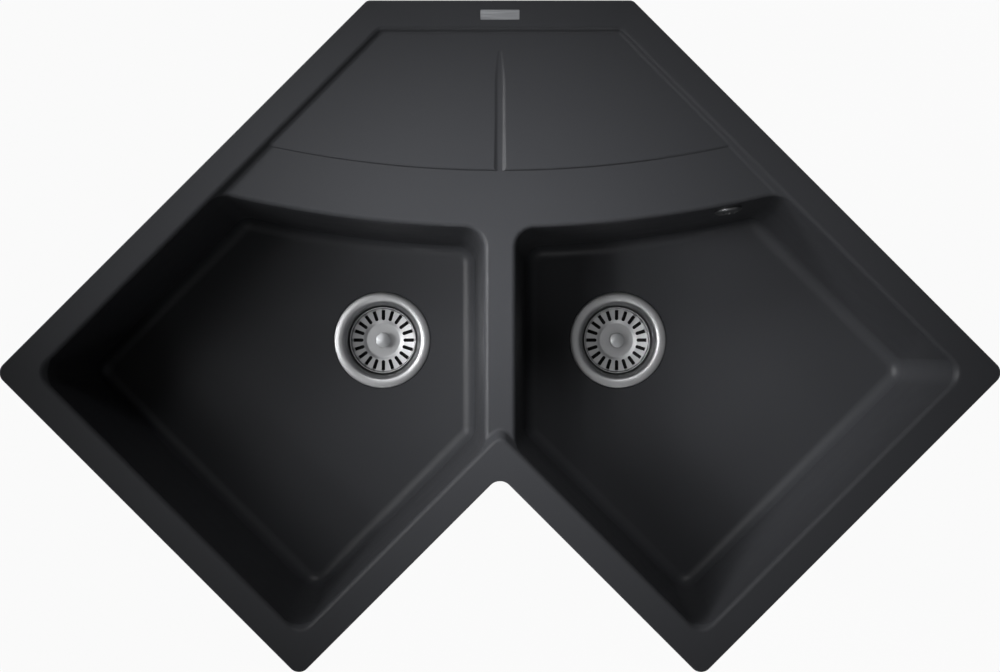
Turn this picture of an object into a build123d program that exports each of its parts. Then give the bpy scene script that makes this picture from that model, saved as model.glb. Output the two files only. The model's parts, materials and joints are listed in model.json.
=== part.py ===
"""Corner kitchen sink: two bowls and a rear drainer moulded in one, with its wastes, overflow and clamps.

Frame, in millimetres: +Z is up and Z = 0 is the worktop that the rim seal lies on. X = 0 is the symmetry
plane, +X is right. +Y points to the corner of the room. The origin is on the middle of the rear rim's seal.
Along an arm of the sink, "run" is measured from the room corner along the wall, and "depth" from that wall
towards the room, so each edge of the plan is a line of constant run or depth.
"""

import os
from math import cos, radians, sin, sqrt, tan

from build123d import *

# ---------------------------------------------------------------- driving dimensions: plan of the moulding
LEG = 785.0  # room corner to the end of each arm, along a wall
ARM_WIDTH = 472.6  # wall side to room side of each arm
REAR_CUT = 146.0  # room corner to the flat rear edge, on the symmetry plane
SEAL_INSET = 7.0  # outer edge to the middle of the rim seal
ARM_CORNER_R = 12.5
REAR_CORNER_R = 8.0
NOTCH_R = 14.5

# heights
SEAL_THICK = 1.0
RIM_TOP = 10.0
RIM_EDGE_R = 1.6  # outer top edge of the rim
BOWL_DEPTH = 200.0  # rim top to bowl floor
WALL = 9.0
DECK_UNDERSIDE = -11.0
COLLAR_INSET = 15.0  # outer edge to the collar that hangs in the worktop cut-out
SEAL_WIDTH = 8.0

# recessed deck: two drainer panels, a groove between them, and a band in front of them
RECESS_INSET = 31.0  # outer edge to the sharp top edge of the recess
RECESS_SLOPE = 53.0  # the recess wall, from level
RECESS_EDGE_R = 6.6
RECESS_FOOT_R = 6.0
RECESS_NOTCH_R = 13.0
RECESS_REAR_R = 9.0
DECK_REAR_Z = 4.6  # height of panels and band at the deck's rear
DECK_START = 56.0  # rear edge to where the panels and the band leave one another, and the groove starts
PANEL_FALL = 0.3  # degrees down towards the bowls
BAND_FALL = 1.4
PANEL_FRONT_R = 1239.0
PANEL_FRONT_Y = -180.0  # foremost point of the panels' front arc, at its foot
PANEL_SLOPE = 52.0  # the step at the panels' front, from level
PANEL_EDGE_DROP, PANEL_EDGE_SLOPE = 0.7, 18.0  # the flatter slope that eases the step's top edge

# the groove's sections: y, depth under the panels, half floor, half width where it is steepest, half width
GROOVE = (
    (-48.0, 0.05, 0.6, 2.2, 3.9),
    (-80.0, 1.15, 1.8, 4.3, 7.0),
    (-190.0, 2.62, 2.0, 4.6, 7.6),
)

# bowls
BOWL_INSET = 33.8  # outer edge to the wall, both at the height of the rim top
BOWL_DRAFT = 3.8
BOWL_CORNER_R = 22.0
BOWL_FLOOR_R = 17.5
BOWL_EDGE_R = 5.8
BOWL_BACK_R = 1299.0
BOWL_BACK_Y = -242.1  # foremost point of the back walls' arc
DIVIDER_HALF = 16.8

# small features of the moulding
BADGE_SIZE = (43.0, 11.0, 0.8)
BADGE_INSET = 16.0  # rear edge to the middle of the badge
KNOCKOUT_R, KNOCKOUT_DEEP, KNOCKOUT_Y = 17.5, 7.5, -211.0  # tap hole, opened from below when it is wanted

# wastes: radii and heights from the bowl's floor, around each waste's axis
WASTE_X, WASTE_Y = 141.5, -366.8
WASTE_HOLE_R = 45.0
WASTE_SEAT_R, WASTE_SEAT_DEEP = 58.5, 1.5
WASTE_CONE = 5.5  # the hole opens out by this much below the seat
FLANGE_R = 57.0
CUP_R = 43.6
CUP_MOUTH_R = 2.5  # bend from the flange down into the cup
LEDGE_Z, LEDGE_R = -34.0, 38.5
THROAT_R, THROAT_Z = 31.0, -43.0
CUP_SHEET = 1.0
BASKET_R = 40.2
BASKET_SHEET = 0.8
BASKET_DISC_Z, BASKET_DISC_R = -28.0, 20.5
SLOT_COUNT, SLOT_INNER_R, SLOT_OUTER_R, SLOT_WIDTH = 20, 25.0, 37.2, 2.6
KNOB_R, KNOB_TOP, KNOB_DOME = 8.8, -14.0, 3.5
STEM_R = 3.0
SPIDER_R, SPIDER_ARM, SPIDER_THICK = 7.0, 4.0, 2.0
SCREW_R, SCREW_END = 3.0, -80.0
HOUSING_R, HOUSING_TOP = 49.0, -12.0
HOUSING_LIP_R, HOUSING_LIP = 58.0, 3.5
HOUSING_WALL = 3.0
PILLAR_R, PILLAR_TALL, PILLAR_Z = 8.0, 14.0, -73.0
PIPE_R, PIPE_BORE = 20.0, 18.0  # waste pipe, 40 mm outside
SOCKET_R, SOCKET_BORE = 23.9, 20.6  # threaded outside, takes the pipe inside
OUTLET_Z = -86.0
BEND_R = 34.0
LINK_Z = -130.0
TEE_HALF = 40.0
TEE_SHOULDER_R, TEE_SHOULDER = 21.6, 27.0
TEE_SPIGOT = 62.0  # link axis to the spigot's end
NUT_R, NUT_TALL, NUT_LIP = 29.5, 24.0, 6.0
FIT_GAP = 0.15

# overflow, in the back wall of the right bowl
OVERFLOW_X, OVERFLOW_Z = 256.0, -35.0
OVERFLOW_HOLE_R = 12.5
COVER_R, COVER_PROUD = 15.5, 4.6
COVER_SLOTS, COVER_SLOT_R = 8, 8.4
GASKET_R, GASKET_THICK = 17.0, 2.0
ELBOW_R, ELBOW_DEEP = 14.5, 25.0
SPOUT_BACK = 24.0  # bowl wall to the axis of the overflow's spout
SPOUT_R, SPOUT_BORE, SPOUT_DROP = 10.0, 8.0, 27.0
HOSE_CREST_R, HOSE_VALLEY_R = 11.0, 9.2
HOSE_BEND_R = 80.0
HOSE_RIBS = 32
HOSE_CUFF = 22.0
PORT_Z = -30.0  # overflow port of the right housing, from the bowl's floor
PORT_REACH = 72.0
HOSE_NUT_R, HOSE_NUT_TALL = 14.5, 16.0

# clamps under the rim
CLAMP_INSET = 20.0  # outer edge to the clamp's screw
CLAMP_RUNS = (260.0, 560.0)  # on the wall side
CLAMP_NOTCH_RUN = 620.0  # on the room side
WORKTOP = 31.0  # what the claw reaches under
CLAW_SHEET, CLAW_WIDTH, CLAW_REACH, CLAW_RISE = 2.0, 12.0, 18.0, 15.0
CLAW_BEND_R = 1.5
CLAMP_SCREW_R, CLAMP_HEAD_R, CLAMP_HEAD = 2.0, 4.2, 3.0
DOWEL_R, DOWEL_DEEP = 4.0, 9.0

# ---------------------------------------------------------------- derived places
REAR_Y = SEAL_INSET
ROOM_CORNER_Y = REAR_Y + REAR_CUT
FLOOR_Z = RIM_TOP - BOWL_DEPTH
DECK_START_Y = REAR_Y - DECK_START
ARM_END_Y = ROOM_CORNER_Y - (LEG + ARM_WIDTH) / sqrt(2)
OVERCUT = 5.0  # how far a cutting form stands clear of the surface it enters
SIDES = (("left", -1), ("right", 1))


def plan_point(run, depth, side=1):
    """The plan point at a run and a depth along the right (side 1) or left (side -1) arm."""
    return (side * (run - depth) / sqrt(2), ROOM_CORNER_Y - (run + depth) / sqrt(2))


def outline_points(inset):
    """Corners of the sink's outline drawn in by inset, counter-clockwise from the notch."""
    rear_run = sqrt(2) * (REAR_CUT + inset) - inset
    right = [
        plan_point(LEG - inset, ARM_WIDTH - inset),
        plan_point(LEG - inset, inset),
        plan_point(rear_run, inset),
    ]
    left = [(-x, y) for x, y in reversed(right)]
    notch = plan_point(ARM_WIDTH - inset, ARM_WIDTH - inset)
    return [notch, *right, *left]


def is_notch(shape):
    """Whether a vertex or a rising edge stands at the notch, on the symmetry plane."""
    return abs(shape.center().X) < 1


def is_rear(shape):
    """Whether a vertex or a rising edge stands at a corner of the flat rear edge."""
    return not is_notch(shape) and shape.center().Y > REAR_Y - 2 * RECESS_INSET


def is_arm(shape):
    """Whether a vertex or a rising edge stands at a corner of an arm."""
    return not is_notch(shape) and not is_rear(shape)


def rising(edges, height):
    """The edges that climb at least the given height."""
    return edges.filter_by(lambda edge: edge.bounding_box().size.Z > height)


def between(shapes, low, high):
    """The shapes that lie wholly between two heights."""
    return shapes.filter_by(lambda s: s.bounding_box().min.Z > low and s.bounding_box().max.Z < high)


def is_recess_wall(face):
    """Whether a face of the moulding is part of the recess's sloping wall, up to the rim's top."""
    box = face.bounding_box()
    return 0.3 < face.normal_at().Z < 0.9 and box.min.Z < DECK_REAR_Z + 3 and box.max.Z > RIM_TOP - 0.01


def is_bowl_wall(face):
    """Whether a face of the moulding is a wall inside a bowl."""
    return FLOOR_Z - 1 < face.bounding_box().min.Z < FLOOR_Z + 2 * BOWL_FLOOR_R


def deck_z(y, fall):
    """Height of the deck at y, on the plane that falls towards the bowls from the deck's start."""
    return DECK_REAR_Z - (DECK_START_Y - y) * tan(radians(fall))


def back_arc_y(x, radius, foremost_y):
    """y of an arc about a centre on the symmetry plane, behind its foremost point."""
    return foremost_y + radius - sqrt(radius**2 - x**2)


def write(piece, name):
    """Label a finished piece and write it."""
    piece.part.label = name
    export_step(piece.part, f"parts/{name}.step")


# ---------------------------------------------------------------- forms that the moulding is cut with
def turned_over(part, height):
    """A form that was drawn upside down on the plane at this height."""
    return mirror(part, about=Plane.XY.offset(height), mode=Mode.PRIVATE)


def both_sides(part):
    """A form of the right side with its twin of the left."""
    return [part, mirror(part, about=Plane.YZ, mode=Mode.PRIVATE)]


def bowl_form(grow, top_z, floor_z, corner_r, floor_r):
    """The right bowl's inside, or its outside when grown by the wall, from the floor up to top_z.

    The draft narrows it towards the floor, so it is drawn upside down.
    """
    inset = BOWL_INSET - grow - (top_z - RIM_TOP) * tan(radians(BOWL_DRAFT))
    widen = BOWL_INSET - inset
    arc_r, arc_y = BOWL_BACK_R - widen, BOWL_BACK_Y + widen
    inner_x = DIVIDER_HALF - widen
    wall_sum = ROOM_CORNER_Y - sqrt(2) * inset - (arc_y + arc_r)
    outer_x = (wall_sum + sqrt(2 * arc_r**2 - wall_sum**2)) / 2
    back = [(x, back_arc_y(x, arc_r, arc_y)) for x in (outer_x, (inner_x + outer_x) / 2, inner_x)]
    front_depth = ARM_WIDTH - inset
    with BuildPart() as form:
        with BuildSketch(Plane.XY.offset(top_z)):
            with BuildLine():
                ThreePointArc(*back)
                Polyline(
                    back[2],
                    plan_point(front_depth + sqrt(2) * inner_x, front_depth),
                    plan_point(LEG - inset, front_depth),
                    plan_point(LEG - inset, inset),
                    back[0],
                )
            make_face()
        extrude(amount=top_z - floor_z, taper=BOWL_DRAFT)
        fillet(rising(form.edges(), BOWL_DEPTH / 2), corner_r)
        fillet(form.faces().sort_by(Axis.Z)[-1].edges(), floor_r)
    return turned_over(form.part, top_z)


def recess_form():
    """The hollow inside the rim down to the deck: a tapered rectangle for each arm, cut off at the rear."""
    top_z = RIM_TOP + OVERCUT
    deep = top_z + OVERCUT
    lean = tan(radians(90 - RECESS_SLOPE))
    inset = RECESS_INSET - OVERCUT * lean
    rear_y = REAR_Y - inset
    with BuildPart() as form:
        with BuildSketch(Plane.XY.offset(top_z)):
            with Locations(plan_point(LEG / 2, ARM_WIDTH / 2)):
                Rectangle(LEG - 2 * inset, ARM_WIDTH - 2 * inset, rotation=-45)
        extrude(amount=deep, taper=90 - RECESS_SLOPE)
        mirror(about=Plane.YZ)
        with BuildSketch(Plane.YZ):
            with BuildLine():
                Polyline(
                    (ARM_END_Y, top_z),
                    (rear_y, top_z),
                    (rear_y - deep * lean, top_z + deep),
                    (ARM_END_Y, top_z + deep),
                    close=True,
                )
            make_face()
        extrude(amount=LEG, both=True, mode=Mode.INTERSECT)
        fillet(rising(form.edges(), OVERCUT).filter_by(is_arm), BOWL_CORNER_R)
        fillet(rising(form.edges(), OVERCUT).filter_by(is_notch), RECESS_NOTCH_R)
        fillet(rising(form.edges(), OVERCUT).filter_by(is_rear), RECESS_REAR_R)
    return turned_over(form.part, top_z)


def above_deck(fall):
    """Everything over the falling deck plane, as a profile across the sink drawn out to both sides."""
    with BuildPart() as form:
        with BuildSketch(Plane.YZ):
            with BuildLine():
                Polyline(
                    (REAR_Y, deck_z(REAR_Y, fall)),
                    (BOWL_BACK_Y, deck_z(BOWL_BACK_Y, fall)),
                    (ARM_END_Y, deck_z(BOWL_BACK_Y, fall)),
                    (ARM_END_Y, RIM_TOP + 2 * OVERCUT),
                    (REAR_Y, RIM_TOP + 2 * OVERCUT),
                    close=True,
                )
            make_face()
        extrude(amount=LEG, both=True)
    return form.part


def panel_block(foot_y, foot_z, slope):
    """A block whose front follows the panels' arc, and leans back from its foot at this slope."""
    half = LEG / 2
    arc = [(x, back_arc_y(x, PANEL_FRONT_R, foot_y)) for x in (-half, 0, half)]
    with BuildPart() as block:
        with BuildSketch(Plane.XY.offset(foot_z)):
            with BuildLine():
                ThreePointArc(*arc)
                Polyline(arc[2], (half, ROOM_CORNER_Y), (-half, ROOM_CORNER_Y), arc[0])
            make_face()
        extrude(amount=4 * OVERCUT, taper=90 - slope)
    return block.part


def panel_form():
    """The block of the two drainer panels, up to their tops, with the top edge of its front step eased."""
    step_z = deck_z(PANEL_FRONT_Y, BAND_FALL)
    steep, flat = tan(radians(PANEL_SLOPE)), tan(radians(PANEL_EDGE_SLOPE))
    edge_z = deck_z(PANEL_FRONT_Y, PANEL_FALL) - PANEL_EDGE_DROP
    edge_y = PANEL_FRONT_Y + (edge_z - step_z) / steep
    front = panel_block(PANEL_FRONT_Y - OVERCUT / steep, step_z - OVERCUT, PANEL_SLOPE)
    ease = panel_block(edge_y - OVERCUT / flat, edge_z - OVERCUT, PANEL_EDGE_SLOPE)
    above = above_deck(PANEL_FALL)
    with BuildPart() as form:
        add(front)
        add(ease, mode=Mode.INTERSECT)
        add(above, mode=Mode.SUBTRACT)
    return form.part


def groove_form():
    """The hollow of the groove between the panels: a flat floor and S-shaped sides, lofted along the deck."""
    with BuildPart() as form:
        for y, deep, floor_half, steep_half, top_half in GROOVE:
            top = deck_z(y, PANEL_FALL)
            floor = top - deep
            share = (steep_half - floor_half) / (top_half - floor_half)
            steep_z = floor + deep * share
            foot = ((floor_half + steep_half) / 2, floor + (steep_z - floor) / 4)
            brow = ((steep_half + top_half) / 2, top - (top - steep_z) / 4)
            with BuildSketch(Plane.XZ.offset(-y)):
                with BuildLine():
                    Line((-floor_half, floor), (floor_half, floor))
                    ThreePointArc((floor_half, floor), foot, (steep_half, steep_z))
                    ThreePointArc((steep_half, steep_z), brow, (top_half, top + 0.02))
                    Polyline(
                        (top_half, top + 0.02),
                        (top_half, top + 1),
                        (-top_half, top + 1),
                        (-top_half, top + 0.02),
                    )
                    ThreePointArc((-top_half, top + 0.02), (-brow[0], brow[1]), (-steep_half, steep_z))
                    ThreePointArc((-steep_half, steep_z), (-foot[0], foot[1]), (-floor_half, floor))
                make_face()
        loft(ruled=True)
    return form.part


def deck_form():
    """The whole hollow over the deck, with its foot rounded where the recess wall meets the deck."""
    recess, above, panels, groove = recess_form(), above_deck(BAND_FALL), panel_form(), groove_form()
    with BuildPart() as form:
        add(recess)
        add(above, mode=Mode.INTERSECT)
        add(panels, mode=Mode.SUBTRACT)
        walls = form.faces().filter_by(lambda f: f.bounding_box().min.Z < RIM_TOP < f.bounding_box().max.Z)
        feet = [edge for wall in walls for edge in between(wall.edges(), -OVERCUT, DECK_REAR_Z + 1)]
        fillet(feet, RECESS_FOOT_R)
        add(groove)
    return form.part


# ---------------------------------------------------------------- the moulding, its badge and its seal
def overflow_plane():
    """The plane on the right bowl's back wall that the overflow sits on, facing into the bowl."""
    lean = (RIM_TOP - OVERFLOW_Z) * tan(radians(BOWL_DRAFT))
    radius, foremost_y = BOWL_BACK_R + lean, BOWL_BACK_Y - lean
    turn, tilt = OVERFLOW_X / radius, radians(BOWL_DRAFT)
    across = (sqrt(1 - turn**2), turn, 0)
    facing = (turn * cos(tilt), -across[0] * cos(tilt), sin(tilt))
    origin = (OVERFLOW_X, back_arc_y(OVERFLOW_X, radius, foremost_y), OVERFLOW_Z)
    return Plane(origin=origin, x_dir=across, z_dir=facing)


def clamp_places():
    """Each clamp's screw in plan, with the direction out of the sink there, in degrees."""
    right = [(plan_point(run, CLAMP_INSET), 45) for run in CLAMP_RUNS]
    right.append((plan_point(LEG - CLAMP_INSET, ARM_WIDTH / 2), -45))
    right.append((plan_point(CLAMP_NOTCH_RUN, ARM_WIDTH - CLAMP_INSET), -135))
    return right + [((-x, y), 180 - out) for (x, y), out in right]


def moulding():
    """The whole moulding: rim, collar and bowl shells, hollowed by the deck and the two bowls."""
    shell = bowl_form(WALL, SEAL_THICK, FLOOR_Z - WALL, BOWL_CORNER_R + WALL, BOWL_FLOOR_R + WALL)
    hollow = bowl_form(0, RIM_TOP + OVERCUT, FLOOR_Z, BOWL_CORNER_R, BOWL_FLOOR_R)
    deck = deck_form()
    wastes = [(side * WASTE_X, WASTE_Y) for _, side in SIDES]
    dowels = [place for place, _ in clamp_places()]
    seat_z = FLOOR_Z - WASTE_SEAT_DEEP
    with BuildPart() as body:
        with BuildSketch(Plane.XY.offset(SEAL_THICK)):
            with BuildLine():
                Polyline(*outline_points(0), close=True)
            make_face()
            fillet(vertices().filter_by(is_arm), ARM_CORNER_R)
            fillet(vertices().filter_by(is_notch), NOTCH_R)
            fillet(vertices().filter_by(is_rear), REAR_CORNER_R)
        extrude(amount=RIM_TOP - SEAL_THICK)
        fillet(body.faces().sort_by(Axis.Z)[-1].edges(), RIM_EDGE_R)
        with BuildSketch(Plane.XY.offset(SEAL_THICK)):
            with BuildLine():
                Polyline(*outline_points(COLLAR_INSET), close=True)
            make_face()
            fillet(vertices().filter_by(is_arm), ARM_CORNER_R)
            fillet(vertices().filter_by(is_notch), NOTCH_R)
        extrude(amount=DECK_UNDERSIDE - SEAL_THICK)
        add(both_sides(shell))

        # the deck, with the rim's inner edge rounded
        add(deck, mode=Mode.SUBTRACT)
        walls = body.faces().filter_by(is_recess_wall)
        brims = [edge for wall in walls for edge in between(wall.edges(), RIM_TOP - 0.1, RIM_TOP + 0.1)]
        fillet(brims, RECESS_EDGE_R)

        # the bowls, with their mouths rounded over the rim, down on to the band and along the divider
        add(both_sides(hollow), mode=Mode.SUBTRACT)
        walls = body.faces().filter_by(is_bowl_wall)
        brims = [edge for wall in walls for edge in between(wall.edges(), -OVERCUT, RIM_TOP)]
        fillet(brims, BOWL_EDGE_R)

        # waste holes: a seat for the flange, a cone below it, then the hole
        with BuildSketch(Plane.XY.offset(FLOOR_Z)):
            with Locations(*wastes):
                Circle(WASTE_SEAT_R)
        extrude(amount=-WASTE_SEAT_DEEP, mode=Mode.SUBTRACT)
        with BuildSketch(Plane.XY.offset(FLOOR_Z)):
            with Locations(*wastes):
                Circle(WASTE_HOLE_R)
        extrude(amount=-2 * WALL, mode=Mode.SUBTRACT)
        mouths = between(body.edges().filter_by(GeomType.CIRCLE), seat_z - 0.1, seat_z + 0.1)
        chamfer(mouths.filter_by(lambda e: abs(e.radius - WASTE_HOLE_R) < 0.1), WASTE_CONE)

        # overflow hole, badge bed, tap knock-out, and the dowel holes for the clamps
        with BuildSketch(overflow_plane().offset(OVERCUT)):
            Circle(OVERFLOW_HOLE_R)
        extrude(amount=-OVERCUT - 2 * WALL, mode=Mode.SUBTRACT)
        with BuildSketch(Plane.XY.offset(RIM_TOP)):
            with Locations((0, REAR_Y - BADGE_INSET)):
                RectangleRounded(BADGE_SIZE[0] + FIT_GAP, BADGE_SIZE[1] + FIT_GAP, 1)
        extrude(amount=-BADGE_SIZE[2] / 2, mode=Mode.SUBTRACT)
        with BuildSketch(Plane.XY.offset(DECK_UNDERSIDE)):
            with Locations((0, KNOCKOUT_Y)):
                Circle(KNOCKOUT_R)
        extrude(amount=KNOCKOUT_DEEP, mode=Mode.SUBTRACT)
        with BuildSketch(Plane.XY.offset(DECK_UNDERSIDE)):
            with Locations(*dowels):
                Circle(DOWEL_R)
        extrude(amount=DOWEL_DEEP, mode=Mode.SUBTRACT)
    return body


def moulding_part(whole, low, high, x_low, x_high):
    """What the moulding has between two heights and two values of x.

    The moulding is one piece. It is divided at the deck's underside into its top and its two bowls, which
    meet there face to face.
    """
    with BuildPart() as piece:
        add(whole.part)
        with Locations(((x_low + x_high) / 2, 0, (low + high) / 2)):
            Box(x_high - x_low, 2 * LEG, high - low, mode=Mode.INTERSECT)
    return piece


def badge_plate():
    """Small plate let into the rear rim, with its top edge broken."""
    with BuildPart() as plate:
        with BuildSketch(Plane.XY.offset(RIM_TOP - BADGE_SIZE[2] / 2)):
            with Locations((0, REAR_Y - BADGE_INSET)):
                RectangleRounded(BADGE_SIZE[0], BADGE_SIZE[1], 1)
        extrude(amount=BADGE_SIZE[2])
        chamfer(plate.faces().sort_by(Axis.Z)[-1].edges(), BADGE_SIZE[2] / 4)
    return plate


def rim_seal():
    """Foam strip that runs all the way round under the rim."""
    half = SEAL_WIDTH / 2
    rings = ((SEAL_INSET - half, Mode.ADD), (SEAL_INSET + half, Mode.SUBTRACT))
    with BuildPart() as seal:
        for inset, mode in rings:
            with BuildSketch():
                with BuildLine():
                    Polyline(*outline_points(inset), close=True)
                make_face()
                fillet(vertices().filter_by(is_arm), ARM_CORNER_R - SEAL_INSET + half)
                fillet(vertices().filter_by(is_notch), NOTCH_R)
            extrude(amount=SEAL_THICK, mode=mode)
    return seal


# ---------------------------------------------------------------- wastes, one under each bowl
def section_plane(x, y, z=FLOOR_Z):
    """A plane through an upright axis: its x is the distance from the axis, its y the height over z."""
    return Plane(origin=(x, y, z), x_dir=(1, 0, 0), z_dir=(0, -1, 0))


def turned(plane, points):
    """A solid turned about the plane's y axis from a closed outline of (radius, height) points."""
    with BuildPart() as piece:
        with BuildSketch(plane):
            with BuildLine():
                Polyline(*points, close=True)
            make_face()
        revolve(axis=Axis(plane.origin, plane.y_dir))
    return piece


def turned_sheet(plane, points, thick, bend=None, bend_r=0):
    """Sheet metal spun about the plane's y axis: points follow its inner face, from the edge to the middle.

    The point numbered bend, counted from 0, is rounded to bend_r.
    """
    path = [Vector(*point) for point in points]
    lines = [(path[i + 1] - path[i]).normalized() for i in range(len(path) - 1)]
    outer = []
    for point, before, after in zip(path, [lines[0], *lines], [*lines, lines[-1]]):
        mitre = Vector(-before.Y - after.Y, before.X + after.X).normalized()
        square = Vector(-after.Y, after.X)
        outer.append(point + mitre * (thick / mitre.dot(square)))
    with BuildPart() as piece:
        with BuildSketch(plane) as section:
            with BuildLine():
                Polyline(*path, *reversed(outer), close=True)
            make_face()
            if bend:
                corners = section.sketch_local.vertices()
                fillet([corners.sort_by_distance(face[bend])[0] for face in (path, outer)], bend_r)
        revolve(axis=Axis(plane.origin, plane.y_dir))
    return piece


def ring(plane, inner_r, outer_r, low, high):
    """A flat ring about the plane's y axis."""
    return turned(plane, [(inner_r, low), (outer_r, low), (outer_r, high), (inner_r, high)])


def strainer_cup(x):
    """Spun flange and cup, with the spider in its throat that the centre screw pulls on."""
    points = [
        (FLANGE_R, -0.6),
        (FLANGE_R - 1.4, 1.5),
        (FLANGE_R - 6, 2.7),
        (CUP_R + 4.8, 1.4),
        (CUP_R, -7.0),
        (CUP_R, LEDGE_Z + 5.5),
        (LEDGE_R, LEDGE_Z),
        (THROAT_R, LEDGE_Z),
        (THROAT_R, THROAT_Z),
    ]
    sheet = turned_sheet(section_plane(x, WASTE_Y), points, CUP_SHEET, bend=3, bend_r=CUP_MOUTH_R)
    with BuildPart() as cup:
        add(sheet.part)
        with BuildSketch(Plane((x, WASTE_Y, FLOOR_Z + THROAT_Z))):
            Circle(SPIDER_R)
            with PolarLocations(THROAT_R / 2, 3):
                Rectangle(THROAT_R + CUP_SHEET, SPIDER_ARM)
            Circle(SCREW_R + FIT_GAP, mode=Mode.SUBTRACT)
        extrude(amount=SPIDER_THICK)
    return cup


def flange_gasket(x):
    """Rubber ring that fills the hollow under the flange."""
    low = -WASTE_SEAT_DEEP
    points = [(50.6, low), (55.0, low), (54.6, 0.2), (51.2, 1.5), (50.6, 1.2)]
    return turned(section_plane(x, WASTE_Y), points)


def basket(x):
    """Pressed basket: rolled rim, a sloping wall with radial slots, and a flat disc in the middle."""
    points = [
        (BASKET_R, -17.2),
        (BASKET_R - 0.4, -14.8),
        (BASKET_R - 2.6, -14.8),
        (SLOT_OUTER_R - 1.2, -18.2),
        (SLOT_INNER_R, -24.6),
        (BASKET_DISC_R, BASKET_DISC_Z),
        (STEM_R + FIT_GAP, BASKET_DISC_Z),
    ]
    dish = turned_sheet(section_plane(x, WASTE_Y), points, BASKET_SHEET)
    with BuildPart() as slotted:
        add(dish.part)
        with BuildSketch(Plane((x, WASTE_Y, FLOOR_Z + BASKET_DISC_Z - 2))):
            with PolarLocations((SLOT_INNER_R + SLOT_OUTER_R) / 2, SLOT_COUNT, start_angle=90):
                SlotOverall(SLOT_OUTER_R - SLOT_INNER_R, SLOT_WIDTH)
        extrude(amount=4 * OVERCUT, mode=Mode.SUBTRACT)
    return slotted


def basket_knob(x):
    """Domed knob with its stem through the basket and the button that keeps the stopper on."""
    disc, button = BASKET_DISC_Z, LEDGE_Z + 0.05
    edge = KNOB_TOP - KNOB_DOME
    dome_r = (KNOB_R**2 + KNOB_DOME**2) / (2 * KNOB_DOME)
    middle = KNOB_TOP - dome_r + sqrt(dome_r**2 - (KNOB_R / 2) ** 2)
    with BuildPart() as knob:
        with BuildSketch(section_plane(x, WASTE_Y)):
            with BuildLine():
                outline = Polyline(
                    (0, KNOB_TOP),
                    (0, button - 1.6),
                    (5, button - 1.6),
                    (5, button),
                    (STEM_R, button),
                    (STEM_R, disc),
                    (6, disc),
                    (6, disc + 1.2),
                    (3.8, disc + 3),
                    (3.8, edge - 3),
                    (KNOB_R, edge - 1),
                    (KNOB_R, edge),
                )
                ThreePointArc(outline @ 1, (KNOB_R / 2, middle), (0, KNOB_TOP))
            make_face()
        revolve(axis=Axis((x, WASTE_Y, 0), (0, 0, 1)))
    return knob


def stopper_seal(x):
    """Rubber plug under the basket, a hub with a lip that lies on the cup's ledge."""
    low, disc = LEDGE_Z + 0.1, BASKET_DISC_Z - BASKET_SHEET
    points = [
        (STEM_R + FIT_GAP, low),
        (LEDGE_R - 2.3, low),
        (LEDGE_R - 2.0, low + 1.0),
        (LEDGE_R - 4.0, low + 2.0),
        (11, low + 2.4),
        (9, disc),
        (STEM_R + FIT_GAP, disc),
    ]
    return turned(section_plane(x, WASTE_Y), points)


def clamp_screw(x):
    """Long centre screw: its head on the cup's spider, its end in the housing's pillar."""
    head = THROAT_Z + SPIDER_THICK
    points = [
        (0, head + 3),
        (4.2, head + 3),
        (5.5, head + 1.6),
        (5.5, head),
        (SCREW_R, head),
        (SCREW_R, SCREW_END),
        (0, SCREW_END),
    ]
    return turned(section_plane(x, WASTE_Y), points)


def waste_housing(x, with_port):
    """Moulded lower half of the waste, down to its outlet, with a pillar on three ribs for the screw."""
    outside = [
        (HOUSING_LIP_R, HOUSING_TOP),
        (HOUSING_LIP_R, HOUSING_TOP - HOUSING_LIP),
        (HOUSING_R + 1, HOUSING_TOP - HOUSING_LIP - 1),
        (HOUSING_R, -44),
        (SOCKET_R + 1, -60),
        (SOCKET_R, -62),
        (SOCKET_R, OUTLET_Z),
    ]
    inside = [
        (SOCKET_BORE, OUTLET_Z),
        (SOCKET_BORE, -61),
        (HOUSING_R - HOUSING_WALL - 0.5, -43),
        (HOUSING_R - HOUSING_WALL, HOUSING_TOP),
    ]
    shell = turned(section_plane(x, WASTE_Y), outside + inside)
    port = port_plane()
    with BuildPart() as housing:
        add(shell.part)
        with BuildSketch(Plane((x, WASTE_Y, FLOOR_Z + PILLAR_Z))):
            Circle(PILLAR_R)
            with PolarLocations(SOCKET_BORE / 2 + 1, 3):
                Rectangle(SOCKET_BORE + 2, HOUSING_WALL)
            Circle(SCREW_R + 0.05, mode=Mode.SUBTRACT)
        extrude(amount=PILLAR_TALL)
        if with_port:
            with BuildSketch(port.offset(HOUSING_R - 2)):
                Circle(SPOUT_R)
            extrude(amount=PORT_REACH - HOUSING_R + 2)
            with BuildSketch(port.offset(HOUSING_R - 9)):
                Circle(SPOUT_BORE)
            extrude(amount=PORT_REACH, mode=Mode.SUBTRACT)
    return housing


def union_nut(plane):
    """Eight-sided union nut: the plane is at the socket's mouth and looks out along the pipe."""
    with BuildPart() as nut:
        with BuildSketch(plane.offset(NUT_LIP)):
            RegularPolygon(NUT_R, 8)
        extrude(amount=-NUT_TALL)
        chamfer(nut.faces().sort_by(Axis(plane.origin, plane.z_dir))[-1].edges(), 2)
        with BuildSketch(plane.offset(0.6 * NUT_LIP)):
            Circle(SOCKET_R + FIT_GAP)
        extrude(amount=-NUT_TALL, mode=Mode.SUBTRACT)
        with BuildSketch(plane):
            Circle(PIPE_R + FIT_GAP)
        extrude(amount=NUT_LIP + 2, mode=Mode.SUBTRACT)
    return nut


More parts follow.
